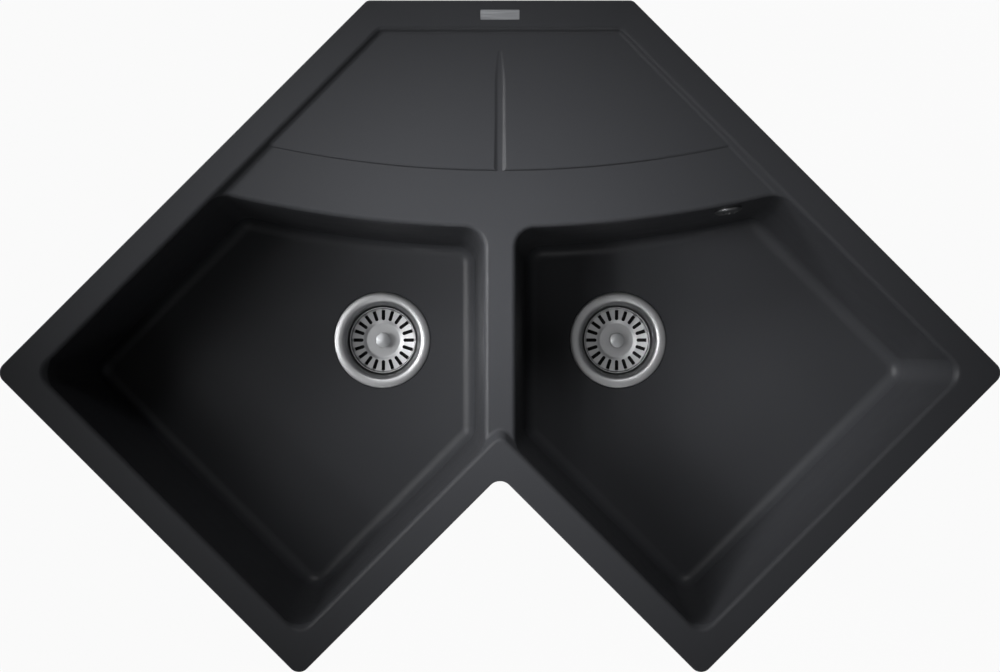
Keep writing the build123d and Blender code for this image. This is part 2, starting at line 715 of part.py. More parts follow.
def cone_washer(plane):
    """Tapered sealing ring between a socket's mouth and the lip of its nut."""
    with BuildPart() as washer:
        with BuildSketch(plane.offset(FIT_GAP)):
            Circle(PIPE_R + 1.5)
        with BuildSketch(plane.offset(0.6 * NUT_LIP - 0.1)):
            Circle(SOCKET_R - 0.2)
        loft()
        with BuildSketch(plane):
            Circle(PIPE_R + FIT_GAP / 2)
        extrude(amount=NUT_LIP, mode=Mode.SUBTRACT)
    return washer


def bend_pipe(side):
    """Bent waste pipe from under a bowl to the tee between the bowls."""
    x = side * WASTE_X
    link_z = FLOOR_Z + LINK_Z
    start = (x, WASTE_Y, FLOOR_Z + OUTLET_Z + 11)
    sag = BEND_R * (1 - sqrt(0.5))
    with BuildPart() as pipe:
        with BuildLine():
            drop = Line(start, (x, WASTE_Y, link_z + BEND_R))
            turn = ThreePointArc(
                drop @ 1,
                (x - side * sag, WASTE_Y, link_z + sag),
                (x - side * BEND_R, WASTE_Y, link_z),
            )
            Line(turn @ 1, (side * (TEE_HALF - 12), WASTE_Y, link_z))
        with BuildSketch(Plane(origin=start, z_dir=(0, 0, -1))):
            Circle(PIPE_R)
            Circle(PIPE_BORE, mode=Mode.SUBTRACT)
        sweep()
    return pipe


def outlet_tee():
    """Tee with a socket at each end of its run, and a plain spigot down for the trap."""
    run = Plane(origin=(0, WASTE_Y, FLOOR_Z + LINK_Z), x_dir=(0, 1, 0), z_dir=(1, 0, 0))
    down = Plane(origin=run.origin, x_dir=(1, 0, 0), z_dir=(0, 0, -1))
    with BuildPart() as tee:
        with BuildSketch(run):
            Circle(SOCKET_R)
        extrude(amount=TEE_HALF, both=True)
        with BuildSketch(down):
            Circle(TEE_SHOULDER_R)
        extrude(amount=TEE_SHOULDER)
        with BuildSketch(down):
            Circle(PIPE_R)
        extrude(amount=TEE_SPIGOT)
        for plane, bore, reach, both in (
            (run, PIPE_BORE, TEE_HALF, True),
            (down, PIPE_BORE - 0.5, TEE_SPIGOT, False),
            (run.offset(TEE_HALF - 14), SOCKET_BORE, 14, False),
            (run.offset(-TEE_HALF), SOCKET_BORE, 14, False),
        ):
            with BuildSketch(plane):
                Circle(bore)
            extrude(amount=reach, both=both, mode=Mode.SUBTRACT)
    return tee


# ---------------------------------------------------------------- overflow of the right bowl
def spout_point():
    """Plan place and height where the overflow's downward spout starts."""
    return overflow_plane().offset(-SPOUT_BACK).origin


def overflow_section():
    """A plane through the overflow's axis: its x is the distance from it, its y stands out of the wall."""
    plane = overflow_plane()
    return Plane(origin=plane.origin, x_dir=plane.x_dir, z_dir=-plane.y_dir)


def port_plane():
    """The plane on the right waste's axis that looks along the overflow port, towards the spout."""
    spout = spout_point()
    origin = Vector(WASTE_X, WASTE_Y, FLOOR_Z + PORT_Z)
    facing = Vector(spout.X - origin.X, spout.Y - origin.Y, 0).normalized()
    return Plane(origin=origin, x_dir=(facing.Y, -facing.X, 0), z_dir=facing)


def overflow_cover():
    """Pressed cover with eight slots round its screw."""
    points = [
        (COVER_R, 0.3),
        (COVER_R, 1.9),
        (COVER_R - 1.7, 3.6),
        (COVER_R - 4.7, COVER_PROUD),
        (2.2, COVER_PROUD),
    ]
    dish = turned_sheet(overflow_section(), points, 1.0)
    with BuildPart() as cover:
        add(dish.part)
        with BuildSketch(overflow_plane().offset(-1)):
            with PolarLocations(COVER_SLOT_R, COVER_SLOTS):
                SlotOverall(5.6, 2.2)
        extrude(amount=2 * COVER_PROUD, mode=Mode.SUBTRACT)
    return cover


def overflow_screw():
    """Screw from the cover into the overflow's body."""
    top = COVER_PROUD + 0.05
    points = [(0, top + 1.5), (2.4, top + 1.3), (3.6, top), (2.0, top), (2.0, -26), (0, -26)]
    return turned(overflow_section(), points)


def overflow_gasket():
    """Ring between the moulding's back wall and the overflow's body."""
    with BuildPart() as gasket:
        with BuildSketch(overflow_plane().offset(-WALL - FIT_GAP)):
            Circle(GASKET_R)
            Circle(OVERFLOW_HOLE_R, mode=Mode.SUBTRACT)
        extrude(amount=-GASKET_THICK)
    return gasket


def overflow_elbow():
    """Moulded body behind the wall: a flange, a cup with a boss for the screw, and a spout down."""
    plane = overflow_plane()
    face = -WALL - FIT_GAP - GASKET_THICK
    spout = Plane(origin=spout_point(), z_dir=(0, 0, -1))
    with BuildPart() as elbow:
        with BuildSketch(plane.offset(face)):
            Circle(GASKET_R)
        extrude(amount=-2)
        with BuildSketch(plane.offset(face)):
            Circle(ELBOW_R)
        extrude(amount=-ELBOW_DEEP)
        with BuildSketch(spout):
            Circle(SPOUT_R)
        extrude(amount=SPOUT_DROP)
        with BuildSketch(plane.offset(face)):
            Circle(OVERFLOW_HOLE_R)
        extrude(amount=2 - ELBOW_DEEP, mode=Mode.SUBTRACT)
        with BuildSketch(spout):
            Circle(SPOUT_BORE)
        extrude(amount=SPOUT_DROP, mode=Mode.SUBTRACT)
        with BuildSketch(plane.offset(face - ELBOW_DEEP + 1)):
            Circle(4)
        extrude(amount=10)
        with BuildSketch(plane.offset(face - 16)):
            Circle(2.05)
        extrude(amount=OVERCUT, both=True, mode=Mode.SUBTRACT)
    return elbow


def hose_path():
    """The hose's centre line: down from the spout, a quarter bend, and along to the port."""
    spout, port = spout_point(), port_plane()
    top = Vector(spout.X, spout.Y, spout.Z - SPOUT_DROP)
    end = port.origin + port.z_dir * PORT_REACH
    corner = Vector(spout.X, spout.Y, end.Z)
    with BuildLine() as path:
        FilletPolyline(top, corner, end, radius=HOSE_BEND_R)
    return path.wire()


def overflow_hose():
    """Ribbed hose: each rib is lofted through four circles, and there is a plain cuff at each end."""
    path = hose_path()
    length = path.length
    pitch = (length - 2 * HOSE_CUFF) / HOSE_RIBS
    rib_form = ((0.10, HOSE_VALLEY_R), (0.30, HOSE_CREST_R), (0.62, HOSE_CREST_R), (0.82, HOSE_VALLEY_R))
    stations = [(0, SPOUT_R), (HOSE_CUFF - 0.5, SPOUT_R)]
    for rib in range(HOSE_RIBS):
        stations += [(HOSE_CUFF + (rib + share) * pitch, radius) for share, radius in rib_form]
    stations += [(length - HOSE_CUFF + 0.5, SPOUT_R), (length, SPOUT_R)]
    steady = port_plane().x_dir
    with BuildPart() as hose:
        for place, radius in stations:
            share = place / length
            with BuildSketch(Plane(origin=path @ share, x_dir=steady, z_dir=path % share)):
                Circle(radius)
        loft(ruled=True)
        with BuildSketch(Plane(origin=path @ 0, x_dir=steady, z_dir=path % 0)) as bore:
            Circle(SPOUT_BORE)
        sweep(bore.sketch, path=path, mode=Mode.SUBTRACT)
    return hose


def hose_nut(plane):
    """Ring nut over the joint between the hose and a spout."""
    with BuildPart() as nut:
        with BuildSketch(plane.offset(-HOSE_NUT_TALL / 2)):
            RegularPolygon(HOSE_NUT_R, 8)
            Circle(SPOUT_R + FIT_GAP, mode=Mode.SUBTRACT)
        extrude(amount=HOSE_NUT_TALL)
    return nut


# ---------------------------------------------------------------- clamps
def clamp_claw(place, out):
    """Bent claw, parked along the edge: it turns a quarter about its screw to point out under the worktop."""
    parked = radians(out - 90)
    along = Vector(cos(parked), sin(parked), 0)
    foot = Vector(*place, -WORKTOP - CLAW_RISE)
    flat = Plane(origin=foot, x_dir=along, z_dir=(0, 0, 1))
    side = Plane(origin=foot, x_dir=along, z_dir=along.cross(Vector(0, 0, 1)))
    with BuildPart() as claw:
        with BuildSketch(side):
            with BuildLine():
                Polyline(
                    (-CLAW_WIDTH, 0),
                    (CLAW_REACH, 0),
                    (CLAW_REACH, CLAW_RISE),
                    (CLAW_REACH - CLAW_SHEET, CLAW_RISE - 2),
                    (CLAW_REACH - CLAW_SHEET, CLAW_SHEET),
                    (-CLAW_WIDTH, CLAW_SHEET),
                    close=True,
                )
            make_face()
        extrude(amount=CLAW_WIDTH / 2, both=True)
        across = claw.edges().filter_by(lambda edge: abs(edge.length - CLAW_WIDTH) < 0.01)
        fillet(across.sort_by_distance(foot + along * CLAW_REACH)[0], CLAW_BEND_R)
        # the heel is round about the screw
        with BuildSketch(flat.offset(-1)):
            Circle(CLAW_WIDTH / 2)
            with Locations((CLAW_REACH / 2, 0)):
                Rectangle(CLAW_REACH, CLAW_WIDTH)
        extrude(amount=2 * CLAW_RISE, mode=Mode.INTERSECT)
        with BuildSketch(flat.offset(-1)):
            Circle(CLAMP_SCREW_R + 0.05)
        extrude(amount=CLAW_SHEET + 2, mode=Mode.SUBTRACT)
    return claw


def rim_screw(place):
    """A clamp's screw, from its head under the claw up into the dowel."""
    head_z = -WORKTOP - CLAW_RISE - 0.05
    with BuildPart() as screw:
        with BuildSketch(Plane((*place, head_z))):
            Circle(CLAMP_SCREW_R)
        extrude(amount=DECK_UNDERSIDE + DOWEL_DEEP - 1 - head_z)
        with BuildSketch(Plane((*place, head_z))):
            RegularPolygon(CLAMP_HEAD_R, 6)
        extrude(amount=-CLAMP_HEAD)
    return screw


def rim_dowels():
    """Plastic dowels pressed into the collar, one for each clamp's screw."""
    places = [place for place, _ in clamp_places()]
    with BuildPart() as dowels:
        with BuildSketch(Plane.XY.offset(DECK_UNDERSIDE)):
            with Locations(*places):
                Circle(DOWEL_R - 0.02)
                Circle(CLAMP_SCREW_R + 0.02, mode=Mode.SUBTRACT)
        extrude(amount=DOWEL_DEEP - 0.5)
    return dowels


# ---------------------------------------------------------------- write every piece
os.makedirs("parts", exist_ok=True)
whole = moulding()
write(moulding_part(whole, DECK_UNDERSIDE, RIM_TOP + OVERCUT, -LEG, LEG), "sink_top")
write(badge_plate(), "badge_plate")
write(rim_seal(), "rim_seal")

for name, side in SIDES:
    low_x, high_x = sorted((0, side * LEG))
    waste_x = side * WASTE_X
    axis_section = section_plane(waste_x, WASTE_Y)
    mouth = Plane(origin=(waste_x, WASTE_Y, FLOOR_Z + OUTLET_Z), z_dir=(0, 0, -1))
    tee_end = (side * TEE_HALF, WASTE_Y, FLOOR_Z + LINK_Z)
    tee_mouth = Plane(origin=tee_end, x_dir=(0, 1, 0), z_dir=(side, 0, 0))
    write(moulding_part(whole, FLOOR_Z - 2 * WALL, DECK_UNDERSIDE, low_x, high_x), f"{name}_bowl")
    write(strainer_cup(waste_x), f"{name}_strainer_cup")
    write(basket(waste_x), f"{name}_basket")
    write(basket_knob(waste_x), f"{name}_basket_knob")
    write(stopper_seal(waste_x), f"{name}_stopper_seal")
    write(clamp_screw(waste_x), f"{name}_clamp_screw")
    write(flange_gasket(waste_x), f"{name}_flange_gasket")
    write(ring(axis_section, 47, 57, HOUSING_TOP, -WALL), f"{name}_lower_gasket")
    write(waste_housing(waste_x, side > 0), f"{name}_waste_housing")
    write(union_nut(mouth), f"{name}_outlet_nut")
    write(cone_washer(mouth), f"{name}_cone_washer")
    write(bend_pipe(side), f"{name}_bend_pipe")
    write(union_nut(tee_mouth), f"{name}_link_nut")
    write(cone_washer(tee_mouth), f"{name}_link_washer")
write(outlet_tee(), "outlet_tee")

write(overflow_cover(), "overflow_cover")
write(overflow_screw(), "overflow_screw")
write(overflow_gasket(), "overflow_gasket")
write(overflow_elbow(), "overflow_elbow")
write(overflow_hose(), "overflow_hose")
hose_top = Plane(origin=hose_path() @ 0, z_dir=(0, 0, -1))
write(hose_nut(hose_top), "overflow_upper_nut")
write(hose_nut(port_plane().offset(PORT_REACH)), "overflow_lower_nut")
print(f"hose: {hose_path().length:.0f} mm long, bent at {HOSE_BEND_R / (2 * HOSE_CREST_R):.1f} diameters")

for number, (place, out) in enumerate(clamp_places(), start=1):
    write(clamp_claw(place, out), f"clamp_claw_{number}")
    write(rim_screw(place), f"rim_screw_{number}")
write(rim_dowels(), "rim_dowels")
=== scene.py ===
"""Looks of the corner kitchen sink: composite moulding, polished basket strainers, overflow and plumbing.

In metres: +Z up, Z = 0 on the worktop, X = 0 on the symmetry plane, +Y to the room's corner.
"""

import json
from math import cos, pi, radians, sin, sqrt

import bmesh
import bpy
from mathutils import Matrix, Vector

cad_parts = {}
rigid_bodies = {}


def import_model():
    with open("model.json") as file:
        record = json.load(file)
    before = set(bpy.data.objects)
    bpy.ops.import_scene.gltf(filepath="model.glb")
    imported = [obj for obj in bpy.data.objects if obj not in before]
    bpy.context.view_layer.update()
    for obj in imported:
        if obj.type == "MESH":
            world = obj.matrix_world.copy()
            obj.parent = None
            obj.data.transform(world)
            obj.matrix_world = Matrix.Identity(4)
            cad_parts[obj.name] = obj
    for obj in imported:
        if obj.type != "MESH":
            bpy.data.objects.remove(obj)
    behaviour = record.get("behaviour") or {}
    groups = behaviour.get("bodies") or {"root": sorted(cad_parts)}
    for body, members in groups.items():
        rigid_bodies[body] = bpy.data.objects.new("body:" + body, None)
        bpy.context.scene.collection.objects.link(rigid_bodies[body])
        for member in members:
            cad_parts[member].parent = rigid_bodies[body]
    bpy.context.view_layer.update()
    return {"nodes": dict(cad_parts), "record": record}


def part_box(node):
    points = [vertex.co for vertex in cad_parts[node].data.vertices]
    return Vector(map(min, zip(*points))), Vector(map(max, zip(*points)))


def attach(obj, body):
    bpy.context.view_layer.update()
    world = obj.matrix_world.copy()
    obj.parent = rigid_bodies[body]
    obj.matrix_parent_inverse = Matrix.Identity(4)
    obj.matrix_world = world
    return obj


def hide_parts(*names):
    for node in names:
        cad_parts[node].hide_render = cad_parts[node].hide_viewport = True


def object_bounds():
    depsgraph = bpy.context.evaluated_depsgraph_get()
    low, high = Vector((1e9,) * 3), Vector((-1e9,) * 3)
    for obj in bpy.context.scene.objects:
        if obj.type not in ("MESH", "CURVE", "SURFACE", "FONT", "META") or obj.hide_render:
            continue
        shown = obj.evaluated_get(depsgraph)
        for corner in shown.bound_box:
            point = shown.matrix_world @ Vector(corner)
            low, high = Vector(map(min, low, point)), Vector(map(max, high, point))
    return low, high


MM = 0.001
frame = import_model()
nodes = frame["nodes"]
SIDES = ("left", "right")


def middle(node):
    """Centre of a CAD node's box."""
    low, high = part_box(node)
    return (low + high) / 2


# ---------------------------------------------------------------- places taken from the frame
BOWL_WALL = 9 * MM  # from the lower gasket's top up to the bowl's floor
RIM_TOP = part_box("sink_top")[1].z
FLOOR_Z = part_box("left_lower_gasket")[1].z + BOWL_WALL
WASTE = {side: middle(f"{side}_strainer_cup") for side in SIDES}
WASTE_X = WASTE["right"].x
WASTE_Y = WASTE["right"].y

# ---------------------------------------------------------------- camera: straight down over the sink
PLAN_CENTRE_Y = -361.8 * MM
CAMERA_HEIGHT = 2139 * MM  # over the rim's top
FRAME_WIDTH = 1098 * MM  # what the photo spans at the rim's top
SENSOR = 36.0  # millimetres, as the lens is


def make_camera():
    """Looks straight down, as far away as the photo's camera was."""
    data = bpy.data.cameras.new("camera")
    data.sensor_width = SENSOR
    data.lens = SENSOR * CAMERA_HEIGHT / FRAME_WIDTH
    camera = bpy.data.objects.new("camera", data)
    camera.location = (0, PLAN_CENTRE_Y, RIM_TOP + CAMERA_HEIGHT)
    bpy.context.scene.collection.objects.link(camera)
    bpy.context.scene.camera = camera


# ---------------------------------------------------------------- materials
class Material:
    """A material's node tree with its Principled shader, and short ways to add and join nodes."""

    def __init__(self, name, **values):
        self.data = bpy.data.materials.new(name)
        self.data.use_nodes = True
        self.tree = self.data.node_tree
        self.shader = self.tree.nodes["Principled BSDF"]
        for socket, value in values.items():
            self.shader.inputs[socket.replace("_", " ")].default_value = value

    def add(self, kind, settings=None, **inputs):
        """Adds a node and returns its outputs.

        An input is a number, a colour or another node's output. Names like _0 and _1 are sockets by number.
        """
        node = self.tree.nodes.new(kind)
        for key, value in (settings or {}).items():
            setattr(node, key, value)
        for key, value in inputs.items():
            socket = node.inputs[int(key[1:])] if key[1:].isdigit() else node.inputs[key.replace("_", " ")]
            if isinstance(value, bpy.types.NodeSocket):
                self.tree.links.new(value, socket)
            else:
                socket.default_value = value
        return node.outputs

    def join(self, output, socket):
        """Feeds an output into the shader."""
        self.tree.links.new(output, self.shader.inputs[socket])

    def place(self, scale=(1, 1, 1)):
        """Object coordinates, stretched."""
        coordinates = self.add("ShaderNodeTexCoord")["Object"]
        return self.add("ShaderNodeMapping", Vector=coordinates, Scale=scale)["Vector"]

    def noise(self, scale, detail, at=None):
        """Clouds, about this many to a metre."""
        return self.add("ShaderNodeTexNoise", Vector=at or self.place(), Scale=scale, Detail=detail)["Fac"]

    def cells(self, scale):
        """Distance from the middle of each grain, with about this many grains to a metre."""
        return self.add("ShaderNodeTexVoronoi", Vector=self.place(), Scale=scale)["Distance"]

    def math(self, operation, first, second=0.0):
        """One step of arithmetic; some operations use the first value only."""
        return self.add("ShaderNodeMath", {"operation": operation}, _0=first, _1=second)["Value"]

    def spread(self, value, low, high, to_low=0.0, to_high=1.0):
        """Maps low..high to another range, clamped."""
        limits = {"From_Min": low, "From_Max": high, "To_Min": to_low, "To_Max": to_high}
        return self.add("ShaderNodeMapRange", Value=value, **limits)["Result"]

    def mix(self, amount, first, second):
        """Mixes two colours; sockets 6, 7 and 2 are a Mix node's two colours and its result as a colour."""
        return self.add("ShaderNodeMix", {"data_type": "RGBA"}, _0=amount, _6=first, _7=second)[2]

    def bump(self, height, depth, strength):
        """Relief whose height 0..1 is this deep, in metres."""
        relief = self.add("ShaderNodeBump", Height=height, Distance=depth, Strength=strength)
        self.join(relief["Normal"], "Normal")


def granite_composite():
    """Quartz-filled resin: near black, with a fine satin grain and scarce paler grains."""
    mat = Material("granite_composite", Specular_IOR_Level=0.14)
    grain = mat.cells(1300)
    patches = mat.noise(9, 3)
    fine = mat.noise(2600, 1)
    dark = mat.mix(patches, (0.0395, 0.0408, 0.0450, 1), (0.0415, 0.0428, 0.0470, 1))
    pale = mat.spread(grain, 0.0, 0.22, 0.10, 0.0)
    mat.join(mat.mix(pale, dark, (0.10, 0.101, 0.103, 1)), "Base Color")
    mat.join(mat.spread(mat.noise(40, 4), 0.3, 0.7, 0.37, 0.40), "Roughness")
    mat.bump(mat.math("ADD", mat.math("MULTIPLY", grain, 0.6), fine), 0.05 * MM, 0.5)
    return mat.data


def radius_from_waste(mat):
    """Distance from the axis of whichever waste is nearer."""
    x, y, _ = mat.add("ShaderNodeSeparateXYZ", Vector=mat.place())
    across = mat.math("SUBTRACT", mat.math("ABSOLUTE", x), WASTE_X)
    along = mat.math("SUBTRACT", y, WASTE_Y)
    squares = mat.math("ADD", mat.math("MULTIPLY", across, across), mat.math("MULTIPLY", along, along))
    return mat.math("SQRT", squares)


def polished_steel():
    """Spun stainless steel with a satin gloss and the faint turning marks of its polish."""
    mat = Material("polished_steel", Metallic=1.0)
    rings = mat.add("ShaderNodeCombineXYZ", X=radius_from_waste(mat))["Vector"]
    marks = mat.noise(2500, 2, rings)
    mat.join(mat.mix(mat.noise(30, 2), (0.44, 0.445, 0.455, 1), (0.49, 0.495, 0.505, 1)), "Base Color")
    mat.join(mat.spread(mat.noise(60, 3), 0.3, 0.7, 0.40, 0.46), "Roughness")
    mat.bump(marks, 0.01 * MM, 0.6)
    return mat.data


def chrome(name="chrome", level=1.0):
    """Plated metal with faint water marks in the gloss; a lower level darkens the plating, as painted shade.
    """
    mat = Material(name, Metallic=1.0)
    low = (0.42 * level, 0.43 * level, 0.445 * level, 1)
    high = (0.48 * level, 0.49 * level, 0.50 * level, 1)
    mat.join(mat.mix(mat.noise(45, 2), low, high), "Base Color")
    mat.join(mat.spread(mat.noise(120, 3), 0.35, 0.7, 0.42, 0.48), "Roughness")
    mat.bump(mat.noise(300, 2), 0.01 * MM, 0.3)
    return mat.data


def brushed_badge():
    """Thin steel plate brushed along its length."""
    mat = Material("badge_steel", Metallic=1.0)
    strokes = mat.noise(900, 3, mat.place((0.04, 1, 1)))
    mat.join(mat.mix(strokes, (0.35, 0.36, 0.38, 1), (0.44, 0.45, 0.47, 1)), "Base Color")
    mat.join(mat.spread(strokes, 0.3, 0.7, 0.30, 0.42), "Roughness")
    mat.bump(strokes, 0.02 * MM, 0.5)
    return mat.data


def zinc_steel():
    """Zinc-plated pressings and screws: dull blue-grey, slightly clouded."""
    mat = Material("zinc_steel", Metallic=1.0)
    cloud = mat.noise(160, 4)
    mat.join(mat.mix(cloud, (0.46, 0.48, 0.50, 1), (0.62, 0.63, 0.62, 1)), "Base Color")
    mat.join(mat.spread(cloud, 0.3, 0.7, 0.30, 0.45), "Roughness")
    mat.bump(mat.noise(700, 2), 0.02 * MM, 0.5)
    return mat.data


def rubber():
    """Black moulded rubber with a dry, dusty bloom."""
    mat = Material("rubber", Specular_IOR_Level=0.2)
    mat.join(mat.mix(mat.noise(120, 4), (0.010, 0.010, 0.011, 1), (0.020, 0.020, 0.021, 1)), "Base Color")
    mat.join(mat.spread(mat.noise(260, 2), 0.3, 0.7, 0.55, 0.72), "Roughness")
    mat.bump(mat.noise(1500, 2), 0.03 * MM, 0.6)
    return mat.data


def seal_foam():
    """Closed-cell foam strip, dark grey, with its cells cut open and painted shade darker in their pits."""
    mat = Material("seal_foam")
    holes = mat.cells(900)
    # painted shade: darker towards each cell's middle, where the bump sinks a pit
    pit_shading = mat.spread(holes, 0.1, 0.6)
    mat.join(mat.mix(pit_shading, (0.02, 0.02, 0.02, 1), (0.06, 0.06, 0.062, 1)), "Base Color")
    mat.join(mat.spread(holes, 0.0, 0.6, 0.75, 0.9), "Roughness")
    mat.bump(holes, 0.3 * MM, 0.7)
    return mat.data


def plastic(name, low, high, rough):
    """Moulded plumbing plastic with a faint mould texture and flow clouds."""
    mat = Material(name)
    cloud = mat.noise(35, 4)
    mat.join(mat.mix(cloud, low, high), "Base Color")
    mat.join(mat.spread(mat.noise(200, 3), 0.3, 0.7, rough - 0.05, rough + 0.07), "Roughness")
    mat.bump(mat.noise(1200, 2), 0.02 * MM, 0.5)
    return mat.data


MATERIALS = {
    "granite_composite": granite_composite(),
    "polished_steel": polished_steel(),
    "chrome": chrome(),
    "badge_steel": brushed_badge(),
    "zinc_steel": zinc_steel(),
    "rubber": rubber(),
    "seal_foam": seal_foam(),
    "pipe_plastic": plastic("pipe_plastic", (0.70, 0.71, 0.70, 1), (0.76, 0.77, 0.76, 1), 0.38),
    "hose_plastic": plastic("hose_plastic", (0.36, 0.37, 0.38, 1), (0.42, 0.43, 0.44, 1), 0.34),
    "dowel_plastic": plastic("dowel_plastic", (0.10, 0.10, 0.105, 1), (0.13, 0.13, 0.135, 1), 0.45),
}
SHADED_CHROME = chrome("overflow_chrome_painted_shade", 0.45)  # darker than the knobs': painted shade on the overflow's cover, which sits in the dark bowl


# ---------------------------------------------------------------- smoothing
WELD = 0.01 * MM
SHARP_ANGLE, HOSE_SHARP_ANGLE = 33, 60  # degrees: gentler bends are shaded smooth
ROUNDED_ANGLE = 40  # degrees: sharper edges are rounded, where rounding is asked for
ROUNDING_STEPS = 2


def smoothing_group(limit):
    """Geometry nodes that weld a tessellated node's faces and shade them smooth up to an angle."""
    tree = bpy.data.node_groups.new(f"smooth_{limit}", "GeometryNodeTree")
    for direction in ("INPUT", "OUTPUT"):
        tree.interface.new_socket("Geometry", in_out=direction, socket_type="NodeSocketGeometry")
    steps = [
        tree.nodes.new("NodeGroupInput"),
        tree.nodes.new("GeometryNodeMergeByDistance"),
        tree.nodes.new("GeometryNodeSetShadeSmooth"),
        tree.nodes.new("GeometryNodeSetShadeSmooth"),
        tree.nodes.new("NodeGroupOutput"),
    ]
    for first, second in zip(steps, steps[1:]):
        tree.links.new(first.outputs[0], second.inputs[0])
    weld, _, sharpen = steps[1:4]
    weld.inputs["Distance"].default_value = WELD
    sharpen.domain = "EDGE"
    sharpen.inputs["Shade Smooth"].default_value = False
    angle = tree.nodes.new("GeometryNodeInputMeshEdgeAngle")
    compare = tree.nodes.new("FunctionNodeCompare")
    compare.operation = "GREATER_THAN"
    compare.inputs["B"].default_value = radians(limit)
    tree.links.new(angle.outputs["Unsigned Angle"], compare.inputs["A"])
    tree.links.new(compare.outputs["Result"], sharpen.inputs["Selection"])
    return tree


def shade(piece, group, edge=0.0):
    """Adds the smoothing, a small rounding of hard edges if asked, and normals that keep flats flat."""
    piece.modifiers.new("smoothing", "NODES").node_group = group
    if edge:
        rounding = piece.modifiers.new("edges", "BEVEL")
        rounding.width = edge
        rounding.segments = ROUNDING_STEPS
        rounding.limit_method = "ANGLE"
        rounding.angle_limit = radians(ROUNDED_ANGLE)
    piece.modifiers.new("normals", "WEIGHTED_NORMAL").keep_sharp = True


# ---------------------------------------------------------------- fine pieces: tools
CORNER_SHARE = 0.45  # of a straight side, at most, that the bend at one of its ends takes
SAME_POINT = 1e-7  # points this close become one


def link(piece, body, slot, stands_for):
    """Puts a piece in the scene, gives it its finish, and ties it to the frame."""
    bpy.context.scene.collection.objects.link(piece)
    piece.data.materials.append(MATERIALS[slot])
    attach(piece, body)
    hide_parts(stands_for)
    return piece


def rounded(points, radius, steps=5):
    """A polyline with its corners turned into curves; an end keeps its point."""
    line = [Vector(point) for point in points]
    result = [line[0]]
    for before, corner, after in zip(line, line[1:], line[2:]):
        back, ahead = (before - corner), (after - corner)
        reach = min(radius, back.length * CORNER_SHARE, ahead.length * CORNER_SHARE)
        start, end = corner + back.normalized() * reach, corner + ahead.normalized() * reach
        for step in range(steps + 1):
            t = step / steps
            result.append(start.lerp(corner, t).lerp(corner.lerp(end, t), t))
    return result + [line[-1]]


def sheet_outline(points, radius, thick):
    """Both faces of spun sheet metal, from a line along its upper face that runs from the edge inwards."""
    upper = rounded(points, radius)
    lower = []
    for index, point in enumerate(upper):
        ahead = upper[min(index + 1, len(upper) - 1)] - upper[max(index - 1, 0)]
        lower.append(point + Vector((-ahead.y, ahead.x)).normalized() * thick)
    return upper + lower[::-1]


def finished(name, mesh):
    """An object made of a mesh that is done."""
    data = bpy.data.meshes.new(name)
    mesh.to_mesh(data)
    mesh.free()
    return bpy.data.objects.new(name, data)


def spin(name, outline, centre, facets, closed=True):
    """A mesh turned about the upright axis through centre, from (radius, height) points in millimetres."""
    mesh = bmesh.new()
    rows = []
    for step in range(facets):
        turn = 2 * pi * step / facets
        row = []
        for r, z in outline:
            x, y = r * MM * cos(turn), r * MM * sin(turn)
            row.append(mesh.verts.new((centre.x + x, centre.y + y, centre.z + z * MM)))
        rows.append(row)
    count = len(outline)
    strips = count if closed else count - 1
    for step in range(facets):
        here, there = rows[step], rows[(step + 1) % facets]
        for index in range(strips):
            after = (index + 1) % count
            mesh.faces.new((here[index], there[index], there[after], here[after]))
    bmesh.ops.remove_doubles(mesh, verts=mesh.verts, dist=SAME_POINT)
    bmesh.ops.recalc_face_normals(mesh, faces=mesh.faces)
    return finished(name, mesh)


def cut(piece, cutter):
    """Takes the cutter's volume out of a piece, and deletes the cutter."""
    collection = bpy.context.scene.collection.objects
    collection.link(piece)
    collection.link(cutter)
    difference = piece.modifiers.new("slots", "BOOLEAN")
    difference.object = cutter
    difference.solver = "EXACT"
    evaluated = piece.evaluated_get(bpy.context.evaluated_depsgraph_get())
    shaped = bpy.data.meshes.new_from_object(evaluated)
    piece.modifiers.clear()
    piece.data = shaped
    collection.unlink(piece)
    bpy.data.objects.remove(cutter)
    return piece


# ---------------------------------------------------------------- fine pieces: the strainers seen from above
# in millimetres; _Z, _TOP and _BOTTOM are heights over the bowl's floor
FLANGE_R, CUP_R, LEDGE_R, LEDGE_Z = 57.8, 42.2, 38.5, -34.0
THROAT_R, THROAT_Z = 31.0, -43.0
CUP_SHEET, CUP_BEND, CUP_FACETS = 1.0, 2.2, 128
BASKET_R, DISC_R, DISC_Z = 40.2, 20.5, -28.0
BASKET_SHEET, BASKET_BEND, BASKET_FACETS = 0.8, 1.0, 160
SLOT_INNER_R, SLOT_OUTER_R, SLOT_WIDTH, SLOT_COUNT = 24.2, 37.9, 4.2, 20
SLOT_BOTTOM, SLOT_TOP, SLOT_END_FACETS = -35.0, -10.0, 8
STEM_R, KNOB_R, KNOB_TOP, KNOB_DOME = 3.0, 8.8, -14.0, 1.6
NECK_R, WASHER_R, BUTTON_R, BUTTON_THICK = 3.8, 6.0, 5.0, 1.6
KNOB_BEND, KNOB_BEND_STEPS, DOME_STEPS, KNOB_FACETS = 0.5, 3, 12, 64
STEM_GAP, BUTTON_OVER_LEDGE = 0.15, 0.05


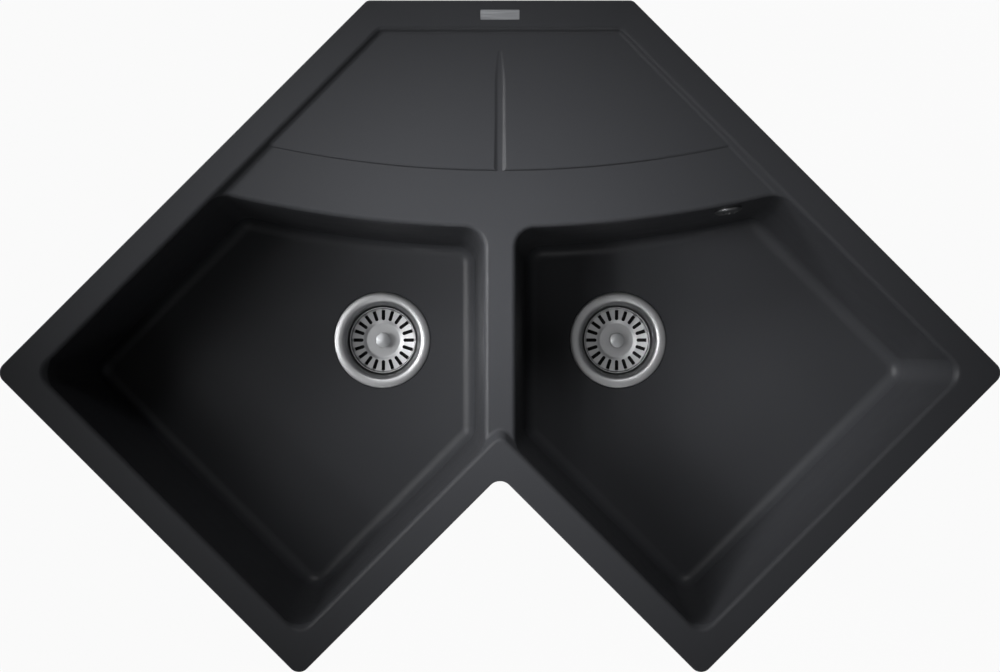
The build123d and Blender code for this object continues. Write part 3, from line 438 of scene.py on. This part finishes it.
def strainer_cup(side, centre):
    """Flange and cup of spun sheet."""
    points = [
        # the flange, from its edge over its crest
        (FLANGE_R, 0.1),
        (FLANGE_R - 0.6, 1.0),
        (FLANGE_R - 3.0, 1.9),
        (FLANGE_R - 6.5, 2.4),
        (FLANGE_R - 9.8, 2.0),
        (FLANGE_R - 12.4, 0.2),
        # the cup's wall
        (CUP_R + 1.3, -5.0),
        (CUP_R, -10.0),
        (CUP_R, LEDGE_Z + 5.5),
        # the ledge, and the throat through it
        (LEDGE_R, LEDGE_Z),
        (THROAT_R, LEDGE_Z),
        (THROAT_R, THROAT_Z),
    ]
    return spin(f"{side}_strainer_cup_spun", sheet_outline(points, CUP_BEND, CUP_SHEET), centre, CUP_FACETS)


def basket(side, centre):
    """Pressed basket with its radial slots cut through."""
    points = [
        # the turned-down rim and the wall
        (BASKET_R, -17.2),
        (BASKET_R - 0.3, -15.0),
        (BASKET_R - 1.4, -15.0),
        (BASKET_R - 2.1, -24.6),
        # the slotted ring, and the disc round the stem
        (SLOT_INNER_R, -26.4),
        (DISC_R, DISC_Z),
        (STEM_R + STEM_GAP, DISC_Z),
    ]
    outline = sheet_outline(points, BASKET_BEND, BASKET_SHEET)
    return cut(spin(f"{side}_basket_spun", outline, centre, BASKET_FACETS), slot_cutter(centre))


def slot_cutter(centre):
    """Upright bars with round ends, one for each slot of a basket."""
    half = SLOT_WIDTH / 2
    reach = (SLOT_OUTER_R - SLOT_INNER_R - SLOT_WIDTH) / 2
    mid = (SLOT_OUTER_R + SLOT_INNER_R) / 2
    arc = [i * pi / SLOT_END_FACETS - pi / 2 for i in range(SLOT_END_FACETS + 1)]
    plan = [(mid + reach + half * cos(a), half * sin(a)) for a in arc]
    plan += [(mid - reach - half * cos(a), -half * sin(a)) for a in arc]
    mesh = bmesh.new()
    for index in range(SLOT_COUNT):
        turn = Matrix.Rotation(pi / 2 + 2 * pi * index / SLOT_COUNT, 4, "Z")
        ends = []
        for z in (SLOT_BOTTOM, SLOT_TOP):
            ends.append([mesh.verts.new(centre + turn @ Vector((x * MM, y * MM, z * MM))) for x, y in plan])
        lower, upper = ends
        mesh.faces.new(lower[::-1])
        mesh.faces.new(upper)
        for i in range(len(plan)):
            j = (i + 1) % len(plan)
            mesh.faces.new((lower[i], lower[j], upper[j], upper[i]))
    return finished("slot_cutter", mesh)


def knob(side, centre):
    """Domed knob on its neck and washer, with the stem through the basket and the button at its end."""
    edge, button = KNOB_TOP - KNOB_DOME, LEDGE_Z + BUTTON_OVER_LEDGE
    dome_r = (KNOB_R**2 + KNOB_DOME**2) / (2 * KNOB_DOME)
    dome = []
    for step in range(DOME_STEPS + 1):
        r = KNOB_R * step / DOME_STEPS
        dome.append((r, KNOB_TOP - dome_r + sqrt(dome_r**2 - r**2)))
    under = [
        (KNOB_R, edge - 2.9),
        (NECK_R, edge - 4.9),
        (NECK_R, DISC_Z + 3),
        (WASHER_R, DISC_Z + 1.2),
        (WASHER_R, DISC_Z),
        (STEM_R, DISC_Z),
        (STEM_R, button),
        (BUTTON_R, button),
        (BUTTON_R, button - BUTTON_THICK),
        (0, button - BUTTON_THICK),
    ]
    outline = rounded(dome + under, KNOB_BEND, KNOB_BEND_STEPS)
    return spin(f"{side}_basket_knob_turned", outline, centre, KNOB_FACETS, closed=False)


# ---------------------------------------------------------------- room: floor, lamps and world
WORLD_LIGHT, WORLD_MIRRORED, WORLD_SEEN = 0.01, 0.25, 1.0  # as light, in reflections, to the camera
FLOOR_SIZE, FLOOR_GAP = 12, 0.002  # its side, and how far it lies below the part
FLOOR_WHITE = 0.95  # share of plain white in what the camera sees of the floor; the rest keeps the shadow


def make_floor():
    """A pale floor under the part, nearly plain white to the camera."""
    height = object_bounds()[0].z - FLOOR_GAP
    bpy.ops.mesh.primitive_plane_add(size=FLOOR_SIZE, location=(0, PLAN_CENTRE_Y, height))
    floor = bpy.context.object
    floor.name = "floor"
    mat = Material("floor", Roughness=0.9)
    mat.join(mat.mix(mat.noise(3, 2), (0.80, 0.80, 0.80, 1), (0.82, 0.82, 0.82, 1)), "Base Color")
    white = mat.add("ShaderNodeEmission", Color=(1, 1, 1, 1), Strength=1.0)["Emission"]
    seen = mat.math("MULTIPLY", mat.add("ShaderNodeLightPath")["Is Camera Ray"], FLOOR_WHITE)
    mixed = mat.add("ShaderNodeMixShader", Fac=seen, _1=mat.shader.outputs[0], _2=white)["Shader"]
    mat.tree.links.new(mixed, mat.tree.nodes["Material Output"].inputs["Surface"])
    floor.data.materials.append(mat.data)


def spot(name, azimuth, elevation, distance, spread, power, across=0.0, along=0.0, height=0.0, radius=0.30):
    """A soft spot lamp aimed at a point this far from the sink's middle; azimuth 180 is from the left.

    Angles are in degrees, the power in watts.
    """
    target = Vector((across, PLAN_CENTRE_Y + along, height))
    turn, climb = radians(azimuth), radians(elevation)
    place = target + distance * Vector((cos(climb) * cos(turn), cos(climb) * sin(turn), sin(climb)))
    data = bpy.data.lights.new(name, "SPOT")
    data.spot_size = radians(spread)
    data.spot_blend = 1.0
    data.shadow_soft_size = radius
    data.energy = power
    lamp = bpy.data.objects.new(name, data)
    lamp.location = place
    lamp.rotation_euler = (target - place).to_track_quat("-Z", "Y").to_euler()
    bpy.context.scene.collection.objects.link(lamp)


def make_lamps():
    """Name, azimuth, elevation, distance, spread and power of each lamp, and where it aims."""
    # most of the light comes from the left, as in the photo
    spot("key_middle", 180, 42, 1.8, 20, 100, across=0.10)
    spot("key_wide", 180, 50, 1.7, 38, 38, across=0.10)
    spot("key_low", 165, 28, 1.8, 22, 90, across=0.10)
    # weaker light from the room's corner and the front
    spot("rear_left", 150, 35, 1.8, 26, 60)
    spot("front_left", 210, 35, 1.8, 26, 11)
    spot("rear", 90, 45, 1.8, 28, 48)
    spot("front", 270, 45, 1.8, 28, 21)
    # the gleam on the band between drainer and bowls, and on the divider
    spot("band", 180, 58, 1.7, 16, 42, across=-0.05, along=0.12, radius=0.10)
    spot("band_rear", 120, 55, 1.7, 24, 15, across=-0.05, along=0.05, radius=0.15)
    spot("divider", 180, 65, 1.7, 12, 13, radius=0.10)
    # level light all round on the bowls' outsides and the pipes
    for azimuth in range(20, 360, 40):
        spot(f"side_{azimuth}", azimuth, 0, 2.2, 50, 34, radius=0.10, height=-0.22)


def make_world():
    """White to the camera, a mid grey in reflections, and nearly nothing as light."""
    world = bpy.data.worlds.new("world")
    bpy.context.scene.world = world
    world.use_nodes = True
    tree = world.node_tree
    background = tree.nodes["Background"]
    background.inputs["Color"].default_value = (1, 1, 1, 1)
    path = tree.nodes.new("ShaderNodeLightPath")
    steps = []
    for ray, level in (("Is Glossy Ray", WORLD_MIRRORED), ("Is Camera Ray", WORLD_SEEN)):
        step = tree.nodes.new("ShaderNodeMapRange")
        step.inputs["To Min"].default_value = WORLD_LIGHT
        step.inputs["To Max"].default_value = level
        tree.links.new(path.outputs[ray], step.inputs["Value"])
        steps.append(step)
    tree.links.new(steps[0].outputs["Result"], steps[1].inputs["To Min"])
    tree.links.new(steps[1].outputs["Result"], background.inputs["Strength"])


# ---------------------------------------------------------------- dress the frame
EDGE_ROUNDING = 0.25 * MM  # of the small pieces' hard edges

make_camera()
smooth = smoothing_group(SHARP_ANGLE)
smooth_hose = smoothing_group(HOSE_SHARP_ANGLE)
slots = {entry["node"]: entry["material_slot"] for entry in frame["record"]["subparts"]}
for name, node in nodes.items():
    hose = name == "overflow_hose"
    moulding = slots[name] == "granite_composite"
    # the overflow's cover and screw take the chrome darkened as painted shade
    finish = SHADED_CHROME if name in ("overflow_cover", "overflow_screw") else MATERIALS[slots[name]]
    node.data.materials.clear()
    node.data.materials.append(finish)
    shade(node, smooth_hose if hose else smooth, 0.0 if hose or moulding else EDGE_ROUNDING)

for side in SIDES:
    centre = Vector((WASTE[side].x, WASTE[side].y, FLOOR_Z))
    fine_pieces = (
        link(strainer_cup(side, centre), "sink", "polished_steel", f"{side}_strainer_cup"),
        link(basket(side, centre), f"{side}_basket_set", "polished_steel", f"{side}_basket"),
        link(knob(side, centre), f"{side}_basket_set", "chrome", f"{side}_basket_knob"),
    )
    for piece in fine_pieces:
        shade(piece, smooth)

make_floor()
make_lamps()
make_world()

scene = bpy.context.scene
scene.view_settings.view_transform = "Standard"
